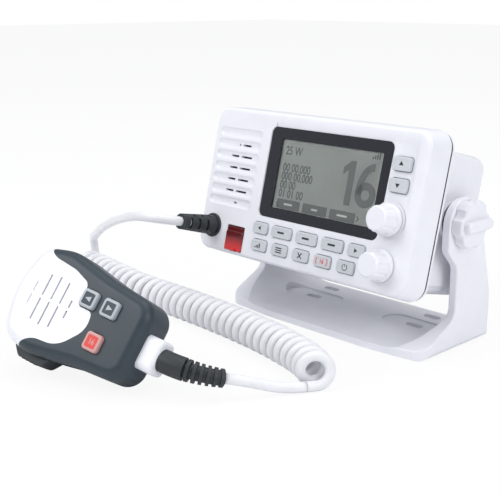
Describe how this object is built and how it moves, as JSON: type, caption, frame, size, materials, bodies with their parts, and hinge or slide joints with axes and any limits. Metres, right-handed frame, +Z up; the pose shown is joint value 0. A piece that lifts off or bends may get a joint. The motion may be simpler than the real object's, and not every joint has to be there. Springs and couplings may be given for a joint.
{
  "type": "vhf marine radio",
  "caption": "Fixed-mount VHF marine radio on a gimbal bracket, with louvred speaker, display, keys, knobs and a fist microphone on a curly cord.",
  "frame": {"origin": "centre of the bracket base's underside, below the tilt axis", "axes": "+Z up, the front panel faces -Y, +X to the right seen from the front"},
  "size_m": [0.2932, 0.2571, 0.1322],
  "materials": {
    "white_plastic": "satin",
    "key_plastic": "satin",
    "dark_rubber": "matte",
    "charcoal_plastic": "satin",
    "black_gloss": "gloss",
    "clear_glass": "clear",
    "lcd_grey": "satin",
    "red_plastic": "gloss",
    "coral_plastic": "satin",
    "white_cord": "satin",
    "cast_aluminium": "cast",
    "nickel_brass": "plated",
    "brass_insert": "turned",
    "steel_screw": "machined",
    "board_green": "matte",
    "speaker_paper": "matte"
  },
  "bodies": {
    "bracket": {"bracket": "white_plastic", "cord_upper": "white_cord", "cord_coil": "white_cord", "cord_lower": "white_cord"},
    "radio": {"front_bezel": "white_plastic", "bezel_gasket": "dark_rubber", "rear_housing": "white_plastic", "heat_sink": "cast_aluminium", "display_frame": "black_gloss", "display_glass": "clear_glass", "lcd_panel": "lcd_grey", "keypad_mat": "dark_rubber", "front_board": "board_green", "main_board": "board_green", "speaker": "speaker_paper", "speaker_mesh": "dark_rubber", "volume_control": "steel_screw", "squelch_control": "steel_screw", "antenna_socket": "nickel_brass", "power_gland": "dark_rubber", "case_screws": "steel_screw", "distress_pin": "steel_screw", "distress_spring": "steel_screw", "radio_strain_relief": "dark_rubber", "mount_washers": "dark_rubber", "pivot_inserts": "brass_insert"},
    "left_mount_knob": {"mount_knob_left": "white_plastic"},
    "right_mount_knob": {"mount_knob_right": "white_plastic"},
    "volume": {"volume_knob": "white_plastic", "volume_shaft": "steel_screw"},
    "squelch": {"squelch_knob": "white_plastic", "squelch_shaft": "steel_screw"},
    "distress_flap": {"distress_cover": "red_plastic"},
    "distress_key": {"distress_button": "red_plastic"},
    "microphone": {"mic_front_shell": "charcoal_plastic", "mic_rear_shell": "charcoal_plastic", "mic_grille": "white_plastic", "mic_element": "steel_screw", "mic_board": "board_green", "mic_hanger_stud": "steel_screw", "mic_screws": "steel_screw", "mic_collar": "white_plastic", "mic_strain_relief": "dark_rubber"},
    "push_to_talk": {"ptt_button": "dark_rubber"},
    "key_left_cap": {"key_left": "key_plastic"},
    "softkey_1_cap": {"softkey_1": "key_plastic"},
    "softkey_2_cap": {"softkey_2": "key_plastic"},
    "softkey_3_cap": {"softkey_3": "key_plastic"},
    "key_right_cap": {"key_right": "key_plastic"},
    "key_hi_lo_cap": {"key_hi_lo": "key_plastic"},
    "key_menu_cap": {"key_menu": "key_plastic"},
    "key_clear_cap": {"key_clear": "key_plastic"},
    "key_channel_cap": {"key_channel": "key_plastic"},
    "key_power_cap": {"key_power": "key_plastic"},
    "key_up_cap": {"key_up": "key_plastic"},
    "key_down_cap": {"key_down": "key_plastic"},
    "mic_key_up_cap": {"mic_key_up": "key_plastic"},
    "mic_key_down_cap": {"mic_key_down": "key_plastic"},
    "mic_key_16_cap": {"mic_key_16": "coral_plastic"}
  },
  "joints": [
    {"name": "radio_tilt", "type": "hinge", "parent": "bracket", "child": "radio", "pos_m": [0, 0, 0.076], "axis": [1, 0, 0], "range_deg": [-40, 28], "deforming": ["cord_upper"]},
    {"name": "left_mount_knob_turn", "type": "hinge", "parent": "radio", "child": "left_mount_knob", "pos_m": [-0.08, 0, 0.076], "axis": [-1, 0, 0], "continuous": true},
    {"name": "right_mount_knob_turn", "type": "hinge", "parent": "radio", "child": "right_mount_knob", "pos_m": [0.08, 0, 0.076], "axis": [1, 0, 0], "continuous": true},
    {"name": "volume_turn", "type": "hinge", "parent": "radio", "child": "volume", "pos_m": [0.0644, -0.0509, 0.08345], "axis": [0, -0.9707, 0.2402], "range_deg": [-150, 150]},
    {"name": "squelch_turn", "type": "hinge", "parent": "radio", "child": "squelch", "pos_m": [0.0644, -0.05696, 0.05898], "axis": [0, -0.9707, 0.2402], "range_deg": [-150, 150]},
    {"name": "distress_flap_hinge", "type": "hinge", "parent": "radio", "child": "distress_flap", "pos_m": [-0.05, -0.05514, 0.05967], "axis": [-1, 0, 0], "range_deg": [0, 88], "stiffness_Nm_per_rad": 0.004, "springref_deg": -20.05},
    {"name": "distress_key_press", "type": "slide", "parent": "radio", "child": "distress_key", "axis": [0, 0.9707, -0.2402], "range_m": [0, 0.0012], "stiffness_N_per_m": 500, "springref_m": -0.0006},
    {"name": "key_left_press", "type": "slide", "parent": "radio", "child": "key_left_cap", "axis": [0, 0.9707, -0.2402], "range_m": [0, 0.0012], "stiffness_N_per_m": 500, "springref_m": -0.0006},
    {"name": "softkey_1_press", "type": "slide", "parent": "radio", "child": "softkey_1_cap", "axis": [0, 0.9707, -0.2402], "range_m": [0, 0.0012], "stiffness_N_per_m": 500, "springref_m": -0.0006},
    {"name": "softkey_2_press", "type": "slide", "parent": "radio", "child": "softkey_2_cap", "axis": [0, 0.9707, -0.2402], "range_m": [0, 0.0012], "stiffness_N_per_m": 500, "springref_m": -0.0006},
    {"name": "softkey_3_press", "type": "slide", "parent": "radio", "child": "softkey_3_cap", "axis": [0, 0.9707, -0.2402], "range_m": [0, 0.0012], "stiffness_N_per_m": 500, "springref_m": -0.0006},
    {"name": "key_right_press", "type": "slide", "parent": "radio", "child": "key_right_cap", "axis": [0, 0.9707, -0.2402], "range_m": [0, 0.0012], "stiffness_N_per_m": 500, "springref_m": -0.0006},
    {"name": "key_hi_lo_press", "type": "slide", "parent": "radio", "child": "key_hi_lo_cap", "axis": [0, 0.9707, -0.2402], "range_m": [0, 0.0012], "stiffness_N_per_m": 500, "springref_m": -0.0006},
    {"name": "key_menu_press", "type": "slide", "parent": "radio", "child": "key_menu_cap", "axis": [0, 0.9707, -0.2402], "range_m": [0, 0.0012], "stiffness_N_per_m": 500, "springref_m": -0.0006},
    {"name": "key_clear_press", "type": "slide", "parent": "radio", "child": "key_clear_cap", "axis": [0, 0.9707, -0.2402], "range_m": [0, 0.0012], "stiffness_N_per_m": 500, "springref_m": -0.0006},
    {"name": "key_channel_press", "type": "slide", "parent": "radio", "child": "key_channel_cap", "axis": [0, 0.9707, -0.2402], "range_m": [0, 0.0012], "stiffness_N_per_m": 500, "springref_m": -0.0006},
    {"name": "key_power_press", "type": "slide", "parent": "radio", "child": "key_power_cap", "axis": [0, 0.9707, -0.2402], "range_m": [0, 0.0012], "stiffness_N_per_m": 500, "springref_m": -0.0006},
    {"name": "key_up_press", "type": "slide", "parent": "radio", "child": "key_up_cap", "axis": [0, 0.9707, -0.2402], "range_m": [0, 0.0012], "stiffness_N_per_m": 500, "springref_m": -0.0006},
    {"name": "key_down_press", "type": "slide", "parent": "radio", "child": "key_down_cap", "axis": [0, 0.9707, -0.2402], "range_m": [0, 0.0012], "stiffness_N_per_m": 500, "springref_m": -0.0006},
    {"name": "microphone_lift", "type": "slide", "parent": "bracket", "child": "microphone", "axis": [0, 0, 1], "range_m": [0, 0.03], "deforming": ["cord_lower"]},
    {"name": "mic_key_up_press", "type": "slide", "parent": "microphone", "child": "mic_key_up_cap", "axis": [-0.297, 0.7943, -0.5299], "range_m": [0, 0.001], "stiffness_N_per_m": 500, "springref_m": -0.0006},
    {"name": "mic_key_down_press", "type": "slide", "parent": "microphone", "child": "mic_key_down_cap", "axis": [-0.297, 0.7943, -0.5299], "range_m": [0, 0.001], "stiffness_N_per_m": 500, "springref_m": -0.0006},
    {"name": "mic_key_16_press", "type": "slide", "parent": "microphone", "child": "mic_key_16_cap", "axis": [-0.297, 0.7943, -0.5299], "range_m": [0, 0.001], "stiffness_N_per_m": 500, "springref_m": -0.0006},
    {"name": "push_to_talk_press", "type": "slide", "parent": "microphone", "child": "push_to_talk", "axis": [0.0465, 0.5663, 0.8229], "range_m": [0, 0.002], "stiffness_N_per_m": 900, "springref_m": -0.0012}
  ]
}
